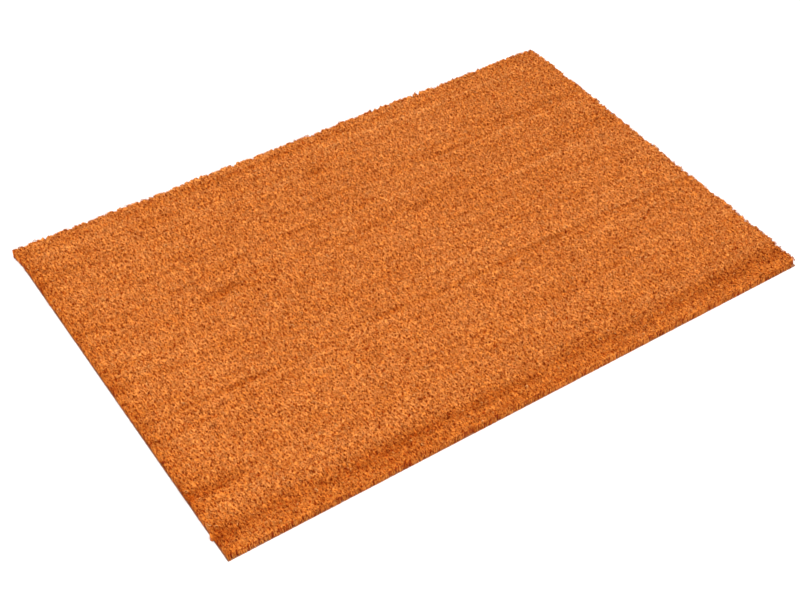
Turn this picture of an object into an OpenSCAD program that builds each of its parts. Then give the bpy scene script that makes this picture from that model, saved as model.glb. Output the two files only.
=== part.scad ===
// Coir door mat: a thin vinyl backing sheet with rows of cut coir tufts standing in it.
// Millimetres, +Z up. The origin is on the floor under the middle of the mat.
// X runs along the long side, which is the way the rows of tufts run, and Y runs across them.

/* [Mat] */
// Length of the mat, along the rows of tufts
mat_length = 900; // [400:10:1200]
// Width of the mat, across the rows of tufts
mat_width = 600; // [300:10:800]
// Height from the floor to the tips of the tufts
mat_height = 15; // [12:0.5:24]

/* [Vinyl backing] */
// Thickness of the vinyl sheet
backing_thickness = 1.5; // [1:0.25:4]
// Depth to which the feet of the tufts are sunk in the vinyl
root_depth = 0.75; // [0.25:0.25:0.75]

/* [Coir pile] */
// Rows of tufts in each band of pile
rows_per_band = 6; // [2:1:8]
// How far the splayed tips fall away between two rows
row_crown = 1; // [0.25:0.25:1.5]
// Part of a row's width that is sunk in the vinyl, where the cut yarns are still bundled tight
root_share = 0.6; // [0.3:0.05:0.9]

/* [Hidden] */
BAND_COUNT = 24;
// Name of band i, counted from the front edge and written with two digits
function band_name(i) = str("pile_band_", i < 10 ? "0" : "", i);

band_width = mat_width / BAND_COUNT;
row_pitch = band_width / rows_per_band;
pile_height = mat_height - backing_thickness;
// Radius of the arc that rises by row_crown over half a row
crown_radius = (pow(row_pitch / 2, 2) + pow(row_crown, 2)) / (2 * row_crown);

vinyl_colour = [0.61, 0.39, 0.25];
coir_colour = [0.81, 0.45, 0.20];
streak_colour = [0.77, 0.41, 0.17];

// Y of a band's near side, counted from the front edge of the mat
function band_start(i) = -mat_width / 2 + (i - 1) * band_width;

// Section of one row of tufts: straight sides, then a crown where the tips splay
module row_section() {
    square([row_pitch, pile_height - row_crown]);
    intersection() {
        square([row_pitch, pile_height]);
        translate([row_pitch / 2, pile_height - crown_radius])
            circle(r = crown_radius, $fn = 96);
    }
}

// Section of one row's feet, from the sheet's top face down into the vinyl
module root_section() {
    translate([row_pitch * (1 - root_share) / 2, -root_depth])
        square([row_pitch * root_share, root_depth]);
}

// A section drawn in Y and Z, run along the whole length of the mat
module along_mat() {
    translate([-mat_length / 2, 0, backing_thickness])
        rotate([90, 0, 90])
            linear_extrude(height = mat_length)
                children();
}

// Repeats a section once for each row of a band
module each_row() {
    for (row = [0 : rows_per_band - 1])
        translate([row * row_pitch, 0])
            children();
}

// Vinyl sheet that every tuft stands in, with a channel for each row of feet
module vinyl_backing() {
    color(vinyl_colour)
        difference() {
            translate([-mat_length / 2, -mat_width / 2, 0])
                cube([mat_length, mat_width, backing_thickness]);
            for (i = [1 : BAND_COUNT])
                translate([0, band_start(i), 0])
                    along_mat()
                        each_row()
                            root_section();
        }
}

// Band i of the coir pile: a few rows of cut tufts, side by side
module pile_band(i) {
    color(i % 2 == 0 ? streak_colour : coir_colour)
        translate([0, band_start(i), 0])
            along_mat()
                each_row() {
                    row_section();
                    root_section();
                }
}

vinyl_backing();
for (i = [1 : BAND_COUNT])
    pile_band(i);
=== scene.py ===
"""Coir door mat: rows of cut coir tufts standing in a thin vinyl sheet.

Metres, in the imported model's frame: +Z up, X along the rows of tufts, Y across them.
"""
import math

import bpy
import numpy as np
from mathutils import Matrix, Vector


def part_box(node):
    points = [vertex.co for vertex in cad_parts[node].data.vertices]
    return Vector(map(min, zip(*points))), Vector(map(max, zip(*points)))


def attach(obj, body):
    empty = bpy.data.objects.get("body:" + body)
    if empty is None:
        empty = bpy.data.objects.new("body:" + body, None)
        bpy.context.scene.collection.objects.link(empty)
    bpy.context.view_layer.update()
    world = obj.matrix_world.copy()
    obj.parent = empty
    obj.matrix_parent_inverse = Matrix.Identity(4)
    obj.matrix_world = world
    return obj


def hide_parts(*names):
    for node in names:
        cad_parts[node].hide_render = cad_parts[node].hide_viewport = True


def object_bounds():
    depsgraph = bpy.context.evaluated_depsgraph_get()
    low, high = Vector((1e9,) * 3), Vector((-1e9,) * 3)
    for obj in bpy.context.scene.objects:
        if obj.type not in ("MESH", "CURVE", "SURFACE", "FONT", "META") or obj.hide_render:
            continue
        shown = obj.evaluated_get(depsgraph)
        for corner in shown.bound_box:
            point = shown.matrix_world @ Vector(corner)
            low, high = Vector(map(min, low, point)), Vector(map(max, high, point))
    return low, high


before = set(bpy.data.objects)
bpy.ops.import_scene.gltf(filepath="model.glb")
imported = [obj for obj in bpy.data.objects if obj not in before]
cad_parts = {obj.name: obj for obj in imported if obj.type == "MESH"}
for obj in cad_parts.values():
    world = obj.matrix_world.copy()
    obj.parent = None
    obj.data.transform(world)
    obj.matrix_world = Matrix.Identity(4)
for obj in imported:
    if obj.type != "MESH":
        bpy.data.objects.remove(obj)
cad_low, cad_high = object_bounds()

MM = 0.001

# ------------------------------------------------------------------ sizes
BAND_NAMES = sorted(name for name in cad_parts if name.startswith("pile_band_"))
BACKING_LOW, BACKING_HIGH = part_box("vinyl_backing")
BACKING_TOP = BACKING_HIGH.z
PILE_TOP = cad_high.z

# Tufts: counts, radius, and how far each one strays from its place in its row and leans
ROWS_PER_BAND = 6
TUFTS_PER_ROW = 264
TUFT_RADIUS = 1.6 * MM
TUFT_JITTER = 1.0 * MM
TUFT_LEAN = 0.05

# How far the tips are below the top of the pile: a share that all have, and the spread from tuft to
# tuft and from row to row. Soft hills among them, as one pair of height and width for each size.
TIP_DROP = 0.5 * MM
TIP_SPREAD = 0.42 * MM
ROW_SPREAD = 0.07 * MM
HILLS = ((0.20 * MM, 11 * MM), (0.25 * MM, 30 * MM))
# Tufts that are cut short: their share, and how deep a pit they leave
PIT_SHARE = 0.03
PIT_DEPTH = (2.0 * MM, 4.0 * MM)

# Ragged edges: how far their tufts are pushed by bumps of two widths and by chance, how much of that
# the right and rear edges and then the left and front ones get, and how far in it reaches
EDGE_BUMPS = ((1.3 * MM, 9 * MM), (1.8 * MM, 26 * MM))
EDGE_JITTER = 1.0 * MM
RAGGEDNESS = (1.0, -0.3)
RAGGED_REACH = 6 * MM
# How far the corners are worn back, at the right end and the left one, and how far that reaches
CORNER_WEAR = (3.0 * MM, 0.8 * MM)
WEAR_REACH = 9 * MM
# How far the rear left corner is spread outwards, and how far that reaches along X and Y
CORNER_SPREAD = 6.0 * MM
SPREAD_REACH = (20 * MM, 14 * MM)
# Where a stray tuft sticks out of the left edge, its radius, and how far out it is pushed
STRAY_TUFT = (-0.449, -0.263)
STRAY_RADIUS = 2.9 * MM
STRAY_REACH = 4.8 * MM

# Shades, from 0 for dark to 1 for pale: the pile's own, the spread from tuft to tuft, from row to row
# and from fibre to fibre, the painted shade added in partings (a painted highlight on ridges), in
# pits and at the left and front rims, and what is added on the stray tuft, which is paler
PILE_TONE = 0.58
TUFT_TONE_SPREAD = 0.02
ROW_TONE_SPREAD = 0.010
FIBRE_TONE_SPREAD = 0.07
PARTING_PAINTED_SHADE = -0.20
PIT_PAINTED_SHADE = -0.15
LEFT_RIM_PAINTED_SHADE = -0.20
FRONT_RIM_PAINTED_SHADE = -0.03
RIM_REACH = 12 * MM
STRAY_TONE = 0.30

# Slope of the fibres, as X and Y travel for each unit of rise: a share that all fibres have, and a
# step that is taken a number of times between the two in NAP_STEPS
NAP_START = (-0.50, 0.0)
NAP_STEP = (-0.117, 1.0)
NAP_STEPS = (0.7, 2.4)

# Painted shade in the pile: dark strokes that run nearly across the mat and stand for the gaps
# between fibres, as the direction and the size of the noise they come from, and dark pinholes that
# stand for the holes between tufts
STROKE_ANGLE = math.radians(91)
STROKE_SIZE = (10.0 * MM, 1.2 * MM, 6.0 * MM)
PINHOLE_SPACING = 5.6 * MM

# Felted top: grid of points, and its share of each piece's UV map, cut into strips
GRID_STEP = 1.25 * MM
GRID_PER_BAND = 20
FELT_SHARE = 0.60
STRIPS = 5
# How far it is below the tips, its domes, the creases between them, its fine roughness, its raised
# rim, and the depth below a dome's top at which its painted shade is darkest
FELT_DROP = 1.5 * MM
DOME_FALL = 0.4 * MM
DOME_RADIUS = 2.2 * MM
CREASE_DEPTH = 0.7 * MM
CREASE_WIDTH = 0.35 * MM
FELT_ROUGHNESS = 0.08 * MM
FELT_LOWEST = 5.0 * MM
RIM_RISE = 0.5 * MM
RIM_WIDTH = 4.0 * MM
SHADE_DEPTH = 1.8 * MM

# Fibres that stand out of the felted top, spread round the middle of their tuft
STRANDS_PER_TUFT = 5
STRAND_SPREAD = 2.3 * MM
STRAND_LENGTH = (4.4 * MM, 7.0 * MM)
STRAND_RADIUS = 0.38 * MM
STRAND_OVERHANG = 0.3 * MM
# Share of strands that are hooks, and how sharply those bend, as radians for each millimetre
HOOK_SHARE = 0.22
HOOK_CURL = (0.35, 0.60)

# Pale loose fibres: radius of their loops and radians of sweep, radius of the fibre, how deep their
# ends are, how high their middles arch and how much that differs, how far they keep from the mat's
# edges, and their shade and its spread
CURLS_PER_BAND = 26
CURL_POINTS = 8
CURL_LOOP = (1.4 * MM, 2.8 * MM)
CURL_SWEEP = (2.4, 5.6)
CURL_RADIUS = (0.45 * MM, 0.65 * MM)
CURL_SUNK = 2.4 * MM
CURL_ARCH = 2.6 * MM
CURL_JITTER = 0.3 * MM
CURL_INSET = 0.5 * MM
CURL_TONE = (0.85, 0.10)

# Yarns down the cut sides, on the tufts within this depth of an edge: mean and spread of their tips
# above the tuft's, and how deep their feet are in the vinyl
CUT_SIDE_DEPTH = 3.6 * MM
YARNS_PER_TUFT = 7
YARN_RADIUS = 0.55 * MM
YARN_OVERHANG = 0.2 * MM
YARN_TIP = (-0.4 * MM, 0.7 * MM)
YARN_FOOT = (0.1 * MM, 0.9 * MM)

# Places of the fibres in each piece's UV map, as the low and high corner of a rectangle
UV_MAP = "OFBake"
STRAND_CELLS = ((0.0, FELT_SHARE + 0.04), (1.0, 0.90))
YARN_CELLS = ((0.0, 0.905), (1.0, 0.98))
CURL_CELLS = ((0.0, 0.985), (1.0, 1.0))

SEED = 62

# Lines where neighbouring rows lean apart, or together into a ridge where the depth is below
# zero: place across the mat, half width, depth, and the middle and half length of the stretch along
# the mat where the line is strongest, 9.0 for the whole way. A depth of 1 drops the tips by
# PARTING_DROP, tilts the tufts beside it by PARTING_LEAN and paints shade into their colour, which
# turns to a painted highlight on a ridge, and the lines waver.
PARTING_DROP = 1.4 * MM
PARTING_LEAN = 0.8
PARTING_WAVER = 5.0 * MM
PARTING_WAVE = 70 * MM
PARTINGS = [
    (-0.272, 0.011, 0.80, 0.00, 9.0),
    (-0.292, 0.013, 0.50, 0.00, 9.0),
    (-0.206, 0.008, 1.20, -0.42, 0.06),
    (-0.170, 0.005, 0.20, 0.10, 0.30),
    (-0.083, 0.004, 0.50, 0.00, 9.0),
    (-0.083, 0.005, 0.80, -0.295, 0.035),
    (-0.081, 0.005, 0.80, -0.080, 0.013),
    (-0.083, 0.005, 0.70, 0.200, 0.018),
    (-0.074, 0.003, -0.80, 0.22, 0.20),
    (-0.046, 0.003, -0.60, 0.20, 0.25),
    (-0.013, 0.006, 0.20, -0.35, 0.20),
    (0.062, 0.005, -0.60, 0.28, 0.14),
    (0.078, 0.007, 0.35, 0.22, 0.25),
    (0.075, 0.007, 1.20, -0.25, 0.03),
    (0.152, 0.003, -0.80, 0.25, 0.25),
    (0.158, 0.004, 0.40, 0.20, 0.40),
    (0.170, 0.004, 0.70, 0.40, 0.12),
    (0.218, 0.007, 1.60, -0.014, 0.017),
    (0.212, 0.005, 0.70, -0.45, 0.08),
    (0.262, 0.003, -0.70, 0.20, 0.30),
    (0.285, 0.006, 0.25, 0.00, 9.0),
]


def new_object(name, data):
    made = bpy.data.objects.new(name, data)
    bpy.context.scene.collection.objects.link(made)
    return made


# ------------------------------------------------------------------ camera
def add_camera():
    """Looks down on the near left corner, with the small roll of a hand-held camera."""
    azimuth, elevation = math.radians(-35.52), math.radians(44.74)
    distance, roll = 1.8612, math.radians(1.98)
    target = Vector((-0.0519, -0.0577, 0.0))
    back = Vector((
        math.sin(azimuth) * math.cos(elevation),
        -math.cos(azimuth) * math.cos(elevation),
        math.sin(elevation),
    ))
    level = Vector((0, 0, 1)).cross(back).normalized()
    upright = back.cross(level)
    right = math.cos(roll) * level + math.sin(roll) * upright
    up = math.cos(roll) * upright - math.sin(roll) * level
    data = bpy.data.cameras.new("camera")
    data.sensor_width = 36.0
    data.lens = 62.2
    camera = new_object("camera", data)
    turn = Matrix((right, up, back)).transposed().to_4x4()
    camera.matrix_world = Matrix.Translation(target + back * distance) @ turn
    bpy.context.scene.camera = camera


# ------------------------------------------------------------------ mesh building
def new_piece(name, verts, corners, face_sizes, uvs, values, material):
    """Makes an object from flat arrays: vertex places, face corners, corners in each face, one UV
    for each corner, and named values for each vertex."""
    mesh = bpy.data.meshes.new(name)
    mesh.vertices.add(len(verts))
    mesh.vertices.foreach_set("co", verts.astype(np.float32).ravel())
    mesh.loops.add(len(corners))
    mesh.loops.foreach_set("vertex_index", corners.astype(np.int32))
    starts = np.concatenate(([0], np.cumsum(face_sizes)[:-1]))
    mesh.polygons.add(len(face_sizes))
    mesh.polygons.foreach_set("loop_start", starts.astype(np.int32))
    layer = mesh.uv_layers.new(name=UV_MAP)
    layer.data.foreach_set("uv", uvs.astype(np.float32).ravel())
    for key, value in values.items():
        attribute = mesh.attributes.new(key, "FLOAT", "POINT")
        attribute.data.foreach_set("value", value.astype(np.float32))
    mesh.update(calc_edges=True)
    mesh.validate()
    mesh.shade_smooth()
    mesh.materials.append(material)
    return new_object(name, mesh)


class Parts:
    """Collects the arrays of a piece that is built from several kinds of part."""

    def __init__(self):
        self.verts, self.corners, self.sizes, self.uvs = [], [], [], []
        self.values = {"tone": [], "along": []}
        self.count = 0

    def add(self, verts, corners, sizes, uvs, tone, along):
        self.verts.append(verts)
        self.corners.append(corners + self.count)
        self.sizes.append(sizes)
        self.uvs.append(uvs)
        self.values["tone"].append(tone)
        self.values["along"].append(along)
        self.count += len(verts)

    def piece(self, name, material):
        joined = {key: np.concatenate(value) for key, value in self.values.items()}
        return new_piece(
            name, np.concatenate(self.verts), np.concatenate(self.corners),
            np.concatenate(self.sizes), np.concatenate(self.uvs), joined, material,
        )


def unit(vectors):
    return vectors / np.maximum(np.linalg.norm(vectors, axis=-1, keepdims=True), 1e-12)


def tube_faces(rings, sides):
    """Corners and face sizes of one closed tube that ends in a point after its last ring, and each
    corner's place on it from 0 to 1."""
    corners, sizes, places = [], [], []
    for ring in range(rings - 1):
        for side in range(sides):
            after = (side + 1) % sides
            corners += [ring * sides + side, ring * sides + after]
            corners += [(ring + 1) * sides + after, (ring + 1) * sides + side]
            sizes.append(4)
            for u, v in ((side, ring), (side + 1, ring), (side + 1, ring + 1), (side, ring + 1)):
                places.append((u / sides, v / rings))
    last, tip = (rings - 1) * sides, rings * sides
    for side in range(sides):
        corners += [last + side, last + (side + 1) % sides, tip]
        sizes.append(3)
        places += [(side / sides, 1 - 1 / rings), ((side + 1) / sides, 1 - 1 / rings)]
        places.append(((side + 0.5) / sides, 1.0))
    corners += list(range(sides - 1, -1, -1))
    sizes.append(sides)
    places += [(side / sides, 0.0) for side in range(sides - 1, -1, -1)]
    return np.array(corners), np.array(sizes), np.array(places)


def add_tubes(parts, paths, radii, tone, cells, rng, sides=3, shade_from=0.0):
    """Adds one closed, pointed tube along each path. paths is (tubes, points, 3), and radii is
    (tubes, points - 1). cells gives each tube its own rectangle of the UV map."""
    count, points = paths.shape[:2]
    rings = points - 1
    tangents = unit(np.gradient(paths, axis=1))[:, :rings]
    spin = unit(rng.normal(size=(count, 1, 3)))
    across = unit(np.cross(tangents, spin))
    upward = np.cross(tangents, across)
    turns = np.arange(sides) * 2 * np.pi / sides
    ring = (across[:, :, None] * np.cos(turns)[None, None, :, None]
            + upward[:, :, None] * np.sin(turns)[None, None, :, None])
    around = paths[:, :rings, None] + ring * radii[:, :, None, None]
    verts = np.concatenate([around.reshape(count, -1, 3), paths[:, -1:]], 1)
    corners, sizes, places = tube_faces(rings, sides)
    per_tube = rings * sides + 1
    all_corners = (np.arange(count)[:, None] * per_tube + corners[None]).ravel()
    low, size = cells
    uvs = low[:, None] + places[None] * size[:, None]
    # along runs from 0 at a tube's foot to 1 at its tip; the material paints shade towards the foot,
    # and shade_from starts that higher so the yarns are darkened less
    along = np.append(np.repeat(np.arange(rings) / rings, sides), 1.0)
    along = shade_from + (1 - shade_from) * along
    parts.add(
        verts.reshape(-1, 3), all_corners, np.tile(sizes, count), uvs.reshape(-1, 2),
        np.repeat(tone, per_tube), np.tile(along, count),
    )


def uv_cells(count, low, high, shape=3.0, gap=0.18):
    """Divides a rectangle of the UV map into cells, each about shape times as tall as wide."""
    width, height = high[0] - low[0], high[1] - low[1]
    columns = max(1, int(math.ceil(math.sqrt(count * width * shape / height))))
    rows = int(math.ceil(count / columns))
    index = np.arange(count)
    cell = np.array([width / columns, height / rows])
    corner = np.stack([index % columns, index // columns], -1) * cell + np.array(low)
    return corner + cell * gap / 2, np.tile(cell * (1 - gap), (count, 1))


# ------------------------------------------------------------------ pile
def parting_at(x, y, rng):
    """How deep the partings are at a point, and which way its tufts lean because of them."""
    y = y + PARTING_WAVER * smooth_noise(x, y, PARTING_WAVE, rng)
    depth, lean = np.zeros_like(y), np.zeros_like(y)
    for place, half_width, strength, middle, reach in PARTINGS:
        away = (y - place) / half_width
        here = strength * np.exp(-((x - middle) / reach) ** 2)
        depth += here * np.exp(-away ** 2)
        lean += here * away * np.exp(-(away / 1.6) ** 2)
    return depth, lean


def smooth_noise(x, y, cell, rng):
    """Soft random hills and dips from -1 to 1, about one cell across."""
    columns = int((cad_high.x - cad_low.x) / cell) + 3
    rows = int((cad_high.y - cad_low.y) / cell) + 3
    lattice = rng.uniform(-1, 1, (rows, columns))
    u = np.clip((x - cad_low.x) / cell + 0.5, 0, columns - 1.001)
    v = np.clip((y - cad_low.y) / cell + 0.5, 0, rows - 1.001)
    i, j = u.astype(int), v.astype(int)
    fu, fv = u - i, v - j
    fu, fv = fu * fu * (3 - 2 * fu), fv * fv * (3 - 2 * fv)
    near = lattice[j, i] * (1 - fu) + lattice[j, i + 1] * fu
    far = lattice[j + 1, i] * (1 - fu) + lattice[j + 1, i + 1] * fu
    return near * (1 - fv) + far * fv


def layered_noise(x, y, layers, rng):
    """Sum of soft random hills, for layers of height and width."""
    return sum(height * smooth_noise(x, y, width, rng) for height, width in layers)


def edge_gaps(x, y):
    """Distances of points from the nearer end of the mat, and from its nearer side."""
    return np.minimum(x - cad_low.x, cad_high.x - x), np.minimum(y - cad_low.y, cad_high.y - y)


def edge_shift(x, y, rng):
    """How far the tufts near the edges lean out or in, and where the stray one is. The right and
    rear edges are ragged, the corners are worn round, and the rear left corner is spread."""
    bulge = layered_noise(x, y, EDGE_BUMPS, rng)
    bulge = bulge + rng.normal(0, EDGE_JITTER, x.shape)
    gap_x, gap_y = edge_gaps(x, y)
    worn = np.where(x > 0, *CORNER_WEAR) * np.exp(-(gap_x + gap_y) / WEAR_REACH)
    ragged_x = np.where(x > 0, *RAGGEDNESS) * np.exp(-gap_x / RAGGED_REACH)
    ragged_y = np.where(y > 0, *RAGGEDNESS) * np.exp(-gap_y / RAGGED_REACH)
    shift_x = ragged_x * bulge - np.sign(x) * worn
    shift_y = ragged_y * bulge - np.sign(y) * worn
    away = np.hypot(x - STRAY_TUFT[0], y - STRAY_TUFT[1])
    stray = np.exp(-(away / STRAY_RADIUS) ** 2)
    from_rear, from_left = cad_high.y - y, x - cad_low.x
    spread = np.exp(-from_left / SPREAD_REACH[0]) * np.exp(-from_rear / SPREAD_REACH[1])
    shift_x = shift_x - STRAY_REACH * stray - CORNER_SPREAD * spread
    return shift_x, shift_y, stray


def lay_tufts(rng):
    """Places, top heights, leans and shades of all the tufts, as arrays of rows by columns."""
    rows = ROWS_PER_BAND * len(BAND_NAMES)
    row, column = np.meshgrid(np.arange(rows), np.arange(TUFTS_PER_ROW), indexing="ij")
    pitch_x = (cad_high.x - cad_low.x) / TUFTS_PER_ROW
    pitch_y = (cad_high.y - cad_low.y) / rows
    x = cad_low.x + (column + 0.25 + 0.5 * (row % 2)) * pitch_x
    y = cad_low.y + (row + 0.5) * pitch_y
    x = x + rng.normal(0, TUFT_JITTER, x.shape)
    y = y + rng.normal(0, TUFT_JITTER, x.shape)
    x = np.clip(x, cad_low.x + TUFT_RADIUS, cad_high.x - TUFT_RADIUS)
    y = np.clip(y, cad_low.y + TUFT_RADIUS, cad_high.y - TUFT_RADIUS)
    shift_x, shift_y, stray = edge_shift(x, y, rng)
    x, y = x + shift_x, y + shift_y
    depth, push = parting_at(x, y, rng)
    row_drop = rng.normal(0, ROW_SPREAD, rows)[row]
    hills = layered_noise(x, y, HILLS, rng)
    sunk = TIP_DROP + np.abs(rng.normal(0, TIP_SPREAD, x.shape)) + row_drop + PARTING_DROP * depth
    top = PILE_TOP - sunk + hills
    pit = rng.random(x.shape) < PIT_SHARE
    top = np.where(pit, top - rng.uniform(*PIT_DEPTH, x.shape), top)
    lean = rng.normal(0, TUFT_LEAN, (*x.shape, 2))
    lean[..., 1] += PARTING_LEAN * push
    row_tone = rng.normal(0, ROW_TONE_SPREAD, rows)[row]
    # Painted shade in partings, and a painted highlight on ridges where the depth is below zero
    tone = PILE_TONE + rng.normal(0, TUFT_TONE_SPREAD, x.shape) + row_tone + PARTING_PAINTED_SHADE * depth
    # Painted shade in the pits that short tufts leave
    tone = np.where(pit, tone + PIT_PAINTED_SHADE, tone)
    # Painted shade that darkens the left and front rims
    left_rim_shade = np.exp(-(x - shift_x - cad_low.x) / RIM_REACH)
    front_rim_shade = np.exp(-(y - shift_y - cad_low.y) / RIM_REACH)
    tone = tone + LEFT_RIM_PAINTED_SHADE * left_rim_shade + FRONT_RIM_PAINTED_SHADE * front_rim_shade + STRAY_TONE * stray
    return {
        "x": x, "y": y, "top": top, "lean": lean, "tone": tone,
        "shift_x": shift_x, "shift_y": shift_y, "pitch_x": pitch_x, "pitch_y": pitch_y,
    }


def band_values(tufts, index, *keys):
    """Values of one band's tufts, as flat arrays."""
    rows = slice(index * ROWS_PER_BAND, (index + 1) * ROWS_PER_BAND)
    return [tufts[key][rows].reshape(-1, *tufts[key].shape[2:]) for key in keys]


def nearest_tufts(tufts, x, y):
    """Row and column of each point's nearest tuft, and its distances to the nearest two."""
    rows, columns = tufts["x"].shape
    row0 = np.floor((y - cad_low.y) / tufts["pitch_y"]).astype(int)
    column0 = np.floor((x - cad_low.x) / tufts["pitch_x"] - 0.25).astype(int)
    best = np.full(x.shape, np.inf)
    second = np.full(x.shape, np.inf)
    best_row, best_column = np.zeros_like(row0), np.zeros_like(column0)
    for row_step in (-1, 0, 1):
        for column_step in (-2, -1, 0, 1, 2):
            row = row0 + row_step
            column = column0 + column_step
            inside = (row >= 0) & (row < rows) & (column >= 0) & (column < columns)
            r, c = np.clip(row, 0, rows - 1), np.clip(column, 0, columns - 1)
            away = np.hypot(x - tufts["x"][r, c], y - tufts["y"][r, c])
            away = np.where(inside, away, np.inf)
            closer = away < best
            second = np.where(closer, best, np.minimum(second, away))
            best_row, best_column = np.where(closer, r, best_row), np.where(closer, c, best_column)
            best = np.where(closer, away, best)
    return best_row, best_column, best, second


def felt_surface(tufts, rng):
    """The felted top of the pile as a grid of points over the whole mat: one soft dome for each
    tuft, with creases between the domes."""
    columns = round((cad_high.x - cad_low.x) / GRID_STEP)
    rows = GRID_PER_BAND * len(BAND_NAMES)
    x, y = np.meshgrid(np.linspace(cad_low.x, cad_high.x, columns + 1),
                       np.linspace(cad_low.y, cad_high.y, rows + 1), indexing="xy")
    row, column, away, second = nearest_tufts(tufts, x, y)
    dome = DOME_FALL * (away / DOME_RADIUS) ** 3
    crease = CREASE_DEPTH * np.exp(-(second - away) / CREASE_WIDTH)
    sunk = np.minimum(dome + crease, FELT_LOWEST)
    edge = np.minimum(*edge_gaps(x, y))
    rim = np.clip(1 - edge / RIM_WIDTH, 0, 1) ** 2
    below = sunk + FELT_DROP - RIM_RISE * rim
    z = tufts["top"][row, column] - below + rng.normal(0, FELT_ROUGHNESS, x.shape)
    # along falls from 1 on a dome's top to 0 at SHADE_DEPTH below it; the material paints shade by it
    # down into the creases
    along = np.clip(1.0 - sunk / SHADE_DEPTH, 0.0, 1.0)
    tone = tufts["tone"][row, column] - 0.06 + rng.normal(0, 0.05, x.shape)
    half_step = GRID_STEP / 2
    inset = 0.5 * MM + np.minimum(away - TUFT_RADIUS, 1.2 * MM) * 0.5
    scallop = np.where(edge < half_step, inset, 0.0)
    at_left, at_right = x < cad_low.x + half_step, x > cad_high.x - half_step
    at_front, at_rear = y < cad_low.y + half_step, y > cad_high.y - half_step
    x = np.where(at_left, x + scallop, np.where(at_right, x - scallop, x))
    y = np.where(at_front, y + scallop, np.where(at_rear, y - scallop, y))
    x, y = x + tufts["shift_x"][row, column], y + tufts["shift_y"][row, column]
    return {"points": np.stack([x, y, z], -1), "tone": tone, "along": along}


def add_felt(parts, felt, index):
    """One band's part of the felted top, closed below and at its sides."""
    rows = slice(index * GRID_PER_BAND, (index + 1) * GRID_PER_BAND + 1)
    top = felt["points"][rows]
    ny, nx = top.shape[0] - 1, top.shape[1] - 1
    cell = np.arange((nx + 1) * (ny + 1)).reshape(ny + 1, nx + 1)
    quads = np.stack([cell[:-1, :-1], cell[:-1, 1:], cell[1:, 1:], cell[1:, :-1]], -1)
    quads = quads.reshape(-1, 4)
    j, i = np.meshgrid(np.arange(ny), np.arange(nx), indexing="ij")
    per_strip = nx // STRIPS
    strip = i // per_strip
    corner_i = np.stack([i, i + 1, i + 1, i], -1) - (strip * per_strip)[..., None]
    corner_j = np.stack([j, j, j + 1, j + 1], -1)
    u = corner_i / per_strip
    v = (strip[..., None] + 0.01 + 0.98 * corner_j / ny) * FELT_SHARE / STRIPS
    quad_uvs = np.stack([u, v], -1).reshape(-1, 2)
    rim = np.concatenate([
        cell[0, :-1], cell[:-1, -1], cell[-1, :0:-1], cell[:0:-1, 0],
    ])
    points = top.reshape(-1, 3)
    foot = points[rim].copy()
    foot[:, 2] = BACKING_TOP
    base = len(points)
    step = np.arange(len(rim))
    ahead = (step + 1) % len(rim)
    walls = np.stack([base + step, base + ahead, rim[ahead], rim[step]], -1)
    wall_u = np.stack([step, step + 1, step + 1, step], -1) / len(rim)
    wall_v = FELT_SHARE + 0.005 + np.tile([0.0, 0.0, 0.03, 0.03], (len(rim), 1))
    wall_uvs = np.stack([wall_u, wall_v], -1).reshape(-1, 2)
    floor_uvs = np.tile([[0.5, FELT_SHARE + 0.005]], (len(rim), 1))
    parts.add(
        np.concatenate([points, foot]),
        np.concatenate([quads.ravel(), walls.ravel(), base + step[::-1]]),
        np.concatenate([np.full(len(quads) + len(walls), 4), [len(rim)]]),
        np.concatenate([quad_uvs, wall_uvs, floor_uvs]),
        np.concatenate([felt["tone"][rows].ravel(), np.full(len(rim), 0.4)]),
        np.concatenate([felt["along"][rows].ravel(), np.full(len(rim), 0.2)]),
    )


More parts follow.
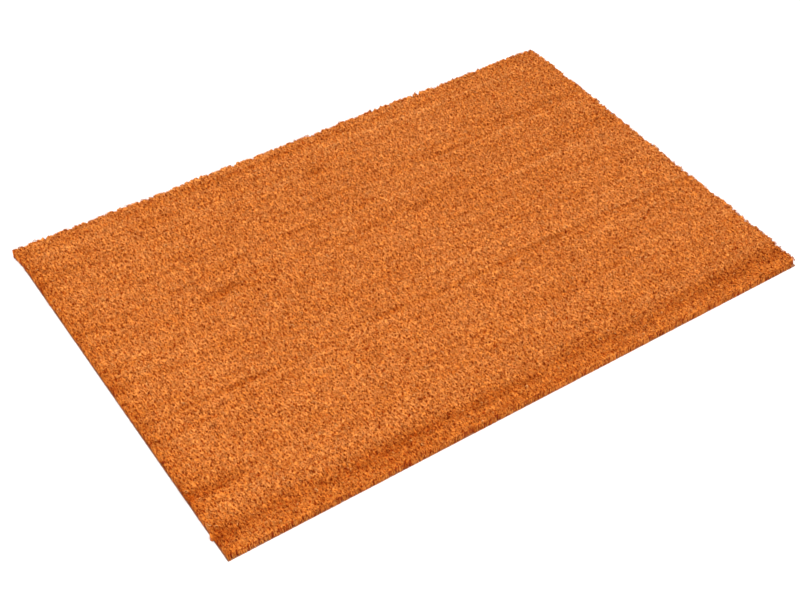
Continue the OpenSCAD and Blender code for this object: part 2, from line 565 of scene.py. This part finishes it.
def add_strands(parts, tufts, index, rng):
    """Fibre bundles at the top of one band's tufts: each is an arc that leans with the nap, and some
    are hooks."""
    x, y, top, tone, lean = band_values(tufts, index, "x", "y", "top", "tone", "lean")
    tuft = np.repeat(np.arange(len(x)), STRANDS_PER_TUFT)
    count = len(tuft)
    turn = rng.uniform(0, 2 * np.pi, count)
    out = np.stack([np.cos(turn), np.sin(turn)], -1)
    reach = np.sqrt(rng.uniform(0.0, 1.0, count))[:, None]
    tilt = lean[tuft] + 0.06 * out * reach + rng.normal(0, 0.08, (count, 2))
    tilt += np.array(NAP_START) + np.array(NAP_STEP) * rng.uniform(*NAP_STEPS, (count, 1))
    start = unit(np.column_stack([tilt, np.ones(count)]))
    side = unit(np.cross(start, rng.normal(size=(count, 3))))
    hook = rng.random(count) < HOOK_SHARE
    hook_curl = rng.uniform(*HOOK_CURL, count)
    slight_curl = np.abs(rng.normal(0, 0.05, count)) + 0.01
    curl = np.where(hook, hook_curl, slight_curl) / MM
    size = rng.uniform(*STRAND_LENGTH, count)
    centre = np.stack([x[tuft], y[tuft]], -1) + out * reach * STRAND_SPREAD
    above = np.where(hook, rng.normal(0.2, 0.4, count), rng.normal(-0.15, 0.5, count))
    peak = top[tuft] + above * MM
    radius = STRAND_RADIUS * rng.uniform(0.8, 1.3, count)
    # Painted light and shade: a strand that stands higher gets a paler tone, a sunk one a darker tone
    lit = 0.02 + 0.12 * np.clip(above, -1.5, 0.5)
    strand_tone = tone[tuft] + lit + rng.normal(0, FIBRE_TONE_SPREAD, count)
    low, cell = uv_cells(count, *STRAND_CELLS)
    shift = np.stack(band_values(tufts, index, "shift_x", "shift_y"), -1)[tuft]
    limit_low = np.array(cad_low[:2]) + shift - STRAND_OVERHANG
    limit_high = np.array(cad_high[:2]) + shift + STRAND_OVERHANG
    for chosen, steps in ((~hook, (0.0, 0.7, 1.0)), (hook, (0.0, 0.25, 0.5, 0.75, 1.0))):
        bend = curl[chosen, None, None]
        angle = bend * size[chosen, None, None] * np.array(steps)[None, :, None]
        paths = start[chosen, None] * np.sin(angle) + side[chosen, None] * (1 - np.cos(angle))
        paths = paths / bend
        paths[..., :2] += (centre[chosen] - paths[:, -2, :2])[:, None]
        paths[..., 2] += (peak[chosen] - paths[..., 2].max(1))[:, None]
        paths[..., :2] = np.clip(paths[..., :2], limit_low[chosen, None], limit_high[chosen, None])
        radii = radius[chosen, None] * np.linspace(1.0, 0.9, len(steps) - 1)[None]
        add_tubes(parts, paths, radii, strand_tone[chosen], (low[chosen], cell[chosen]), rng)


def add_curls(parts, name, rng):
    """Pale single fibres that lie on the pile in hooks and loops."""
    low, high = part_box(name)
    count = CURLS_PER_BAND
    centre = np.stack([rng.uniform(low.x, high.x, count), rng.uniform(low.y, high.y, count)], -1)
    radius = rng.uniform(*CURL_LOOP, count)
    start = rng.uniform(0, 2 * np.pi, count)
    sweep = rng.uniform(*CURL_SWEEP, count)
    squash = rng.uniform(0.55, 1.0, count)
    turn = rng.uniform(0, np.pi, count)
    step = np.linspace(0, 1, CURL_POINTS)
    angle = start[:, None] + sweep[:, None] * step
    u = np.cos(angle) * radius[:, None]
    v = np.sin(angle) * radius[:, None] * squash[:, None]
    paths = np.empty((count, CURL_POINTS, 3))
    paths[..., 0] = centre[:, :1] + u * np.cos(turn)[:, None] - v * np.sin(turn)[:, None]
    paths[..., 1] = centre[:, 1:] + u * np.sin(turn)[:, None] + v * np.cos(turn)[:, None]
    arch = np.sin(step * np.pi) ** 0.5
    paths[..., 2] = PILE_TOP - CURL_SUNK + CURL_ARCH * arch + rng.normal(0, CURL_JITTER, (count, 1))
    paths[..., 0] = np.clip(paths[..., 0], cad_low.x + CURL_INSET, cad_high.x - CURL_INSET)
    paths[..., 1] = np.clip(paths[..., 1], cad_low.y + CURL_INSET, cad_high.y - CURL_INSET)
    radii = np.tile(rng.uniform(*CURL_RADIUS, (count, 1)), (1, CURL_POINTS - 1))
    tone = rng.normal(*CURL_TONE, count)
    add_tubes(parts, paths, radii, tone, uv_cells(count, *CURL_CELLS), rng)


def add_cut_side(parts, tufts, index, rng):
    """Yarns of the tufts along the mat's cut edges, seen from the vinyl up to their tips."""
    x, y, top, tone, lean = band_values(tufts, index, "x", "y", "top", "tone", "lean")
    shift_x, shift_y = band_values(tufts, index, "shift_x", "shift_y")
    edge = np.flatnonzero(np.minimum(*edge_gaps(x, y)) < CUT_SIDE_DEPTH)
    tuft = np.repeat(edge, YARNS_PER_TUFT)
    count = len(tuft)
    places = np.arange(YARNS_PER_TUFT) * 2 * np.pi / YARNS_PER_TUFT
    turn = np.tile(places, len(edge)) + rng.normal(0, 0.3, count)
    heights = (0.0, 0.35, 0.70, 1.0)
    spread = (1.5 * MM, 1.9 * MM, 1.9 * MM, 1.4 * MM)
    rise = top[tuft] + rng.normal(*YARN_TIP, count) - BACKING_TOP
    hang = rng.uniform(*YARN_FOOT, count)
    nap = lean[tuft] + np.array(NAP_START) + np.array(NAP_STEP)
    paths = np.empty((count, len(heights), 3))
    for point, (height, width) in enumerate(zip(heights, spread)):
        angle = turn + 0.5 * height
        sway = nap * 4.0 * MM * (height ** 1.4 - 0.5)
        noise = rng.normal(0, 0.25 * MM, (count, 2)) * height
        foot_x = x[tuft] - shift_x[tuft] * (1 - height)
        foot_y = y[tuft] - shift_y[tuft] * (1 - height)
        paths[:, point, 0] = foot_x + np.cos(angle) * width + sway[:, 0] + noise[:, 0]
        paths[:, point, 1] = foot_y + np.sin(angle) * width + sway[:, 1] + noise[:, 1]
        paths[:, point, 2] = BACKING_TOP - hang + (rise + hang) * height
    paths[..., 0] = np.clip(paths[..., 0], cad_low.x - YARN_OVERHANG, cad_high.x + YARN_OVERHANG)
    paths[..., 1] = np.clip(paths[..., 1], cad_low.y - YARN_OVERHANG, cad_high.y + YARN_OVERHANG)
    radius = YARN_RADIUS * rng.uniform(0.8, 1.2, count)
    radii = radius[:, None] * np.array([1.0, 1.0, 0.9])[None]
    yarn_tone = tone[tuft] + rng.normal(0, FIBRE_TONE_SPREAD, count)
    cells = uv_cells(count, *YARN_CELLS)
    add_tubes(parts, paths, radii, yarn_tone, cells, rng, shade_from=0.5)


def add_pile_band(index, name, tufts, felt, material):
    """One piece: a band of rows with its felted top, fibres, cut sides and loose curls."""
    rng = np.random.default_rng(SEED + 1 + index)
    parts = Parts()
    add_felt(parts, felt, index)
    add_strands(parts, tufts, index, rng)
    add_cut_side(parts, tufts, index, rng)
    add_curls(parts, name, rng)
    piece = parts.piece("coir_" + name, material)
    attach(piece, "root")
    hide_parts(name)
    return piece


# ------------------------------------------------------------------ vinyl backing
def add_backing(material):
    """The vinyl sheet: flat on top, with fine ribs along the underside."""
    rib_pitch, rib_depth, per_rib = 6 * MM, 0.25 * MM, 6
    width = BACKING_HIGH.y - BACKING_LOW.y
    ribs = round(width / rib_pitch)
    ys = np.linspace(BACKING_LOW.y, BACKING_HIGH.y, ribs * per_rib + 1)
    wave = 0.5 - 0.5 * np.cos((ys - BACKING_LOW.y) / width * ribs * 2 * np.pi)
    below = BACKING_LOW.z + rib_depth * wave
    count = len(ys)
    section = np.concatenate([
        np.stack([ys, below], -1), np.stack([ys[::-1], np.full(count, BACKING_TOP)], -1),
    ])
    xs = np.linspace(BACKING_LOW.x, BACKING_HIGH.x, 31)
    around = len(section)
    verts = np.concatenate([np.column_stack([np.full(around, x), section]) for x in xs])
    step = np.arange(around)
    ahead = (step + 1) % around
    walls = []
    for slab in range(len(xs) - 1):
        near, far = slab * around, (slab + 1) * around
        walls.append(np.stack([near + ahead, near + step, far + step, far + ahead], -1))
    walls = np.concatenate(walls)
    end = (len(xs) - 1) * around
    corners = np.concatenate([walls.ravel(), step, end + step[::-1]])
    sizes = np.concatenate([np.full(len(walls), 4), [around, around]])
    mesh = bpy.data.meshes.new("vinyl_backing_sheet")
    faces = np.split(corners, np.cumsum(sizes)[:-1])
    mesh.from_pydata(verts.tolist(), [], [face.tolist() for face in faces])
    mesh.materials.append(material)
    piece = new_object("vinyl_backing_sheet", mesh)
    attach(piece, "root")
    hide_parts("vinyl_backing")
    return piece


# ------------------------------------------------------------------ materials
def node_material(name):
    material = bpy.data.materials.new(name)
    material.use_nodes = True
    tree = material.node_tree
    return material, tree, tree.nodes["Principled BSDF"]


def add_node(tree, kind, inputs=(), **settings):
    """Adds a shader node; inputs pairs an input's name or number with a value or a socket."""
    node = tree.nodes.new(kind)
    for key, value in settings.items():
        setattr(node, key, value)
    for key, value in inputs:
        if isinstance(value, bpy.types.NodeSocket):
            tree.links.new(value, node.inputs[key])
        else:
            node.inputs[key].default_value = value
    return node


def add_ramp(tree, factor, stops):
    ramp = add_node(tree, "ShaderNodeValToRGB", [("Fac", factor)])
    elements = ramp.color_ramp.elements
    while len(elements) < len(stops):
        elements.new(0.5)
    for element, (place, colour) in zip(elements, stops):
        element.position = place
        element.color = (*colour, 1)
    return ramp.outputs["Color"]


def add_noise(tree, place, scale, detail):
    inputs = [("Vector", place), ("Scale", scale), ("Detail", detail)]
    return add_node(tree, "ShaderNodeTexNoise", inputs).outputs["Fac"]


def add_math(tree, operation, *values):
    node = add_node(tree, "ShaderNodeMath", enumerate(values), operation=operation)
    return node.outputs[0]


def add_range(tree, value, taken, given):
    """Turns a value between the two numbers taken into one between the two numbers given."""
    inputs = [("Value", value), ("From Min", taken[0]), ("From Max", taken[1])]
    inputs += [("To Min", given[0]), ("To Max", given[1])]
    return add_node(tree, "ShaderNodeMapRange", inputs).outputs["Result"]


def add_finish(tree, shader, grain, roughness, strength, height):
    """Roughness and bump from one fine noise."""
    rough = add_range(tree, grain, (0.0, 1.0), roughness)
    tree.links.new(rough, shader.inputs["Roughness"])
    inputs = [("Height", grain), ("Strength", strength), ("Distance", height)]
    bump = add_node(tree, "ShaderNodeBump", inputs)
    tree.links.new(bump.outputs["Normal"], shader.inputs["Normal"])


def coir_material():
    """Orange brown fibre: each part's own tone, soft clouds and streaks along the rows, then painted
    shade: short dark strokes across the rows and pinholes for the gaps in the pile, and darkening
    towards the foot of the pile and down into the felt's creases."""
    material, tree, shader = node_material("coir_fibre")
    tone = add_node(tree, "ShaderNodeAttribute", attribute_name="tone").outputs["Fac"]
    along = add_node(tree, "ShaderNodeAttribute", attribute_name="along").outputs["Fac"]
    place = add_node(tree, "ShaderNodeTexCoord").outputs["Object"]
    mottle = add_noise(tree, place, 28.0, 3.0)
    stretched = add_node(tree, "ShaderNodeMapping", [("Vector", place), ("Scale", (3.0, 70.0, 1.0))])
    streak = add_noise(tree, stretched.outputs[0], 1.0, 2.0)
    cloud = add_math(tree, "MULTIPLY_ADD", streak, 1.6, mottle)
    shift = add_math(tree, "MULTIPLY_ADD", cloud, 0.20, -0.26)
    # Painted shade: dark strokes across the rows for the gaps between fibres, and dark pinholes for
    # the holes between tufts
    combed = add_node(tree, "ShaderNodeMapping", [
        ("Vector", place), ("Rotation", (0.0, 0.0, STROKE_ANGLE)), ("Scale", STROKE_SIZE),
    ], vector_type="TEXTURE")
    stroke = add_noise(tree, combed.outputs[0], 1.0, 1.0)
    sharp = add_range(tree, stroke, (0.33, 0.43), (-0.49, 0.03))
    spots = add_node(tree, "ShaderNodeTexVoronoi", [
        ("Vector", place), ("Scale", 1 / PINHOLE_SPACING),
    ], voronoi_dimensions="2D")
    pinhole = add_range(tree, spots.outputs["Distance"], (0.14, 0.20), (-0.75, 0.0))
    gap_shade = add_math(tree, "ADD", sharp, pinhole)
    toned = add_math(tree, "ADD", tone, gap_shade)
    level = add_math(tree, "ADD", toned, shift)
    colour = add_ramp(tree, level, [
        (0.00, (0.36, 0.044, 0.002)),
        (0.25, (0.59, 0.120, 0.007)),
        (0.45, (0.83, 0.273, 0.040)),
        (0.60, (0.93, 0.360, 0.082)),
        (1.00, (0.97, 0.500, 0.180)),
    ])
    # Painted shade: darker towards the foot of each fibre and deeper in the felt, by the along value
    depth = add_ramp(tree, along, [
        (0.0, (0.50, 0.24, 0.11)),
        (0.5, (0.93, 0.85, 0.75)),
        (1.0, (1.0, 1.0, 1.0)),
    ])
    mixed = add_node(tree, "ShaderNodeMix", data_type="RGBA", blend_type="MULTIPLY")
    mixed.inputs["Factor"].default_value = 1.0
    tree.links.new(colour, mixed.inputs["A"])
    tree.links.new(depth, mixed.inputs["B"])
    tree.links.new(mixed.outputs["Result"], shader.inputs["Base Color"])
    add_finish(tree, shader, add_noise(tree, place, 1800.0, 2.0), (0.62, 0.95), 0.25, 0.15 * MM)
    shader.inputs["Specular IOR Level"].default_value = 0.08
    return material


def vinyl_material():
    material, tree, shader = node_material("vinyl")
    place = add_node(tree, "ShaderNodeTexCoord").outputs["Object"]
    colour = add_ramp(tree, add_noise(tree, place, 60.0, 4.0), [
        (0.3, (0.28, 0.105, 0.040)),
        (0.7, (0.38, 0.150, 0.060)),
    ])
    tree.links.new(colour, shader.inputs["Base Color"])
    add_finish(tree, shader, add_noise(tree, place, 900.0, 2.0), (0.45, 0.70), 0.40, 0.20 * MM)
    return material


def floor_material():
    material, _, shader = node_material("studio_floor")
    shader.inputs["Base Color"].default_value = (0.94, 0.94, 0.94, 1)
    shader.inputs["Roughness"].default_value = 0.9
    shader.inputs["Specular IOR Level"].default_value = 0.0
    return material


# ------------------------------------------------------------------ studio
def add_floor():
    half = 6.0
    mesh = bpy.data.meshes.new("floor")
    corners = [(-half, -half, 0), (half, -half, 0), (half, half, 0), (-half, half, 0)]
    mesh.from_pydata(corners, [], [(0, 1, 2, 3)])
    mesh.materials.append(floor_material())
    floor = new_object("floor", mesh)


def add_lights():
    world = bpy.data.worlds.new("studio")
    world.use_nodes = True
    background = world.node_tree.nodes["Background"]
    background.inputs["Color"].default_value = (1.0, 1.0, 1.0, 1)
    background.inputs["Strength"].default_value = 0.60
    bpy.context.scene.world = world
    data = bpy.data.lights.new("key", "SUN")
    data.energy = 2.5
    data.angle = math.radians(20)
    key = new_object("key", data)
    towards = Vector((-0.03, -0.23, 1.0))
    key.rotation_mode = "QUATERNION"
    key.rotation_quaternion = towards.to_track_quat("Z", "Y")


# ------------------------------------------------------------------ the mat
add_camera()
add_floor()
add_lights()
bpy.context.scene.view_settings.view_transform = "Standard"
coir = coir_material()
layout = np.random.default_rng(SEED)
all_tufts = lay_tufts(layout)
all_felt = felt_surface(all_tufts, layout)
for band_index, band_name in enumerate(BAND_NAMES):
    add_pile_band(band_index, band_name, all_tufts, all_felt, coir)
backing = add_backing(vinyl_material())
